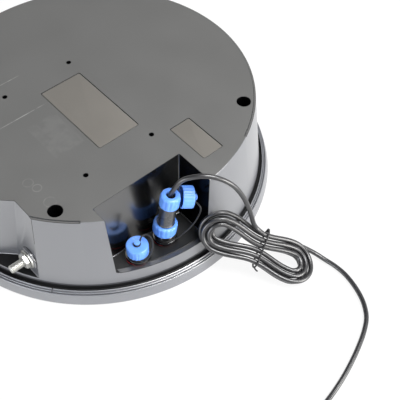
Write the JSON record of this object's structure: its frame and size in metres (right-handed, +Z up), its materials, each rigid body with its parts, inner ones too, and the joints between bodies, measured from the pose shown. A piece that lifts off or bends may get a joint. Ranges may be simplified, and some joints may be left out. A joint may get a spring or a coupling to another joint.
{
  "type": "electric fence energizer",
  "caption": "Round electric fence energizer lying on its front: dished black housing, supply sockets with blue caps in a side pocket, leaning plug with a tied cord, threaded output studs.",
  "frame": {"origin": "On the table, under the middle of the round rim that the part lies on.", "axes": "+Z is up, out of the back face; +X points to the socket pocket; -Y points to the output studs, which hang down when the part is on a wall."},
  "size_m": [0.4126, 0.2642, 0.0899],
  "materials": {
    "housing_black": "satin moulded",
    "cover_black": "satin moulded",
    "rubber_black": "matte",
    "zinc": "bright zinc plate",
    "plate_grey": "satin film",
    "blue_plastic": "satin moulded",
    "connector_black": "satin moulded",
    "lens_clear": "clear",
    "board_green": "solder mask",
    "can_blue": "sleeved",
    "core_steel": "laminated",
    "copper": "enamelled wire",
    "wire_red": "insulation",
    "wire_black": "insulation",
    "seal_red": "silicone",
    "contact_brass": "plated",
    "cord_black": "satin jacket",
    "adapter_black": "fine texture"
  },
  "bodies": {
    "base": {"back_housing": "housing_black", "front_cover": "cover_black", "rim_seal": "rubber_black", "housing_screws": "zinc", "front_fascia": "plate_grey", "button_switch": "connector_black", "status_lenses": "lens_clear", "rating_plate": "plate_grey", "socket_plate": "plate_grey", "main_board": "board_green", "board_screws": "zinc", "storage_capacitors": "can_blue", "transformer_core": "core_steel", "transformer_winding": "copper", "output_leads": "wire_red", "supply_leads": "wire_black", "fence_stud": "zinc", "fence_inner_nuts": "zinc", "earth_stud": "zinc", "earth_inner_nuts": "zinc", "adapter_socket": "connector_black", "battery_socket": "connector_black", "socket_seals": "seal_red", "socket_rear_nuts": "connector_black", "contact_pins": "contact_brass", "battery_tether": "rubber_black", "loose_cap": "blue_plastic", "loose_cap_seal": "rubber_black", "loose_tether": "rubber_black", "cord_lead": "cord_black", "cord_hank": "cord_black", "cord_tail": "cord_black", "hank_tie": "connector_black", "adapter_case": "adapter_black", "adapter_lid": "adapter_black", "adapter_pins": "contact_brass", "adapter_relief": "rubber_black"},
    "plug": {"plug_body": "connector_black", "clamp_nut": "blue_plastic", "cord_grommet": "rubber_black"},
    "coupling_ring": {"coupling_ring": "blue_plastic"},
    "battery_cap_seal": {"battery_cap_seal": "rubber_black"},
    "battery_cap": {"battery_cap": "blue_plastic"},
    "fence_washer": {"fence_washer": "zinc"},
    "fence_nut": {"fence_nut": "zinc"},
    "earth_washer": {"earth_washer": "zinc"},
    "earth_nut": {"earth_nut": "zinc"},
    "power_button": {"power_button": "blue_plastic"}
  },
  "joints": [
    {"name": "plug_pull", "type": "slide", "parent": "base", "child": "plug", "axis": [0.0895, 0.1066, 0.9903], "range_m": [0, 0.006], "deforming": ["cord_lead"]},
    {"name": "coupling_ring_turn", "type": "hinge", "parent": "plug", "child": "coupling_ring", "pos_m": [0.1038, -0.0195, 0.0345], "axis": [0.0895, 0.1066, 0.9903], "continuous": true},
    {"name": "battery_cap_lift", "type": "slide", "parent": "base", "child": "battery_cap_seal", "axis": [0, 0, 1], "range_m": [0, 0.004], "deforming": ["battery_tether"]},
    {"name": "battery_cap_turn", "type": "hinge", "parent": "battery_cap_seal", "child": "battery_cap", "pos_m": [0.1038, -0.0435, 0.0345], "axis": [0, 0, 1], "range_deg": [0, 1440], "deforming": ["battery_tether"]},
    {"name": "fence_nut_travel", "type": "slide", "parent": "base", "child": "fence_washer", "axis": [0, -1, 0], "range_m": [0, 0.006]},
    {"name": "fence_nut_turn", "type": "hinge", "parent": "fence_washer", "child": "fence_nut", "pos_m": [0.06, -0.10277, 0.029], "axis": [0, -1, 0], "range_deg": [0, 2160]},
    {"name": "earth_nut_travel", "type": "slide", "parent": "base", "child": "earth_washer", "axis": [0, -1, 0], "range_m": [0, 0.006]},
    {"name": "earth_nut_turn", "type": "hinge", "parent": "earth_washer", "child": "earth_nut", "pos_m": [-0.06, -0.10277, 0.029], "axis": [0, -1, 0], "range_deg": [0, 2160]},
    {"name": "power_button_press", "type": "slide", "parent": "base", "child": "power_button", "axis": [0, 0, 1], "range_m": [0, 0.001], "stiffness_N_per_m": 400, "springref_m": -0.002}
  ],
  "couplings": [
    {"joint": "battery_cap_turn", "follows": "battery_cap_lift", "rad_per_m": 6283.1},
    {"joint": "fence_nut_turn", "follows": "fence_nut_travel", "rad_per_m": 6283.1},
    {"joint": "earth_nut_turn", "follows": "earth_nut_travel", "rad_per_m": 6283.1}
  ]
}
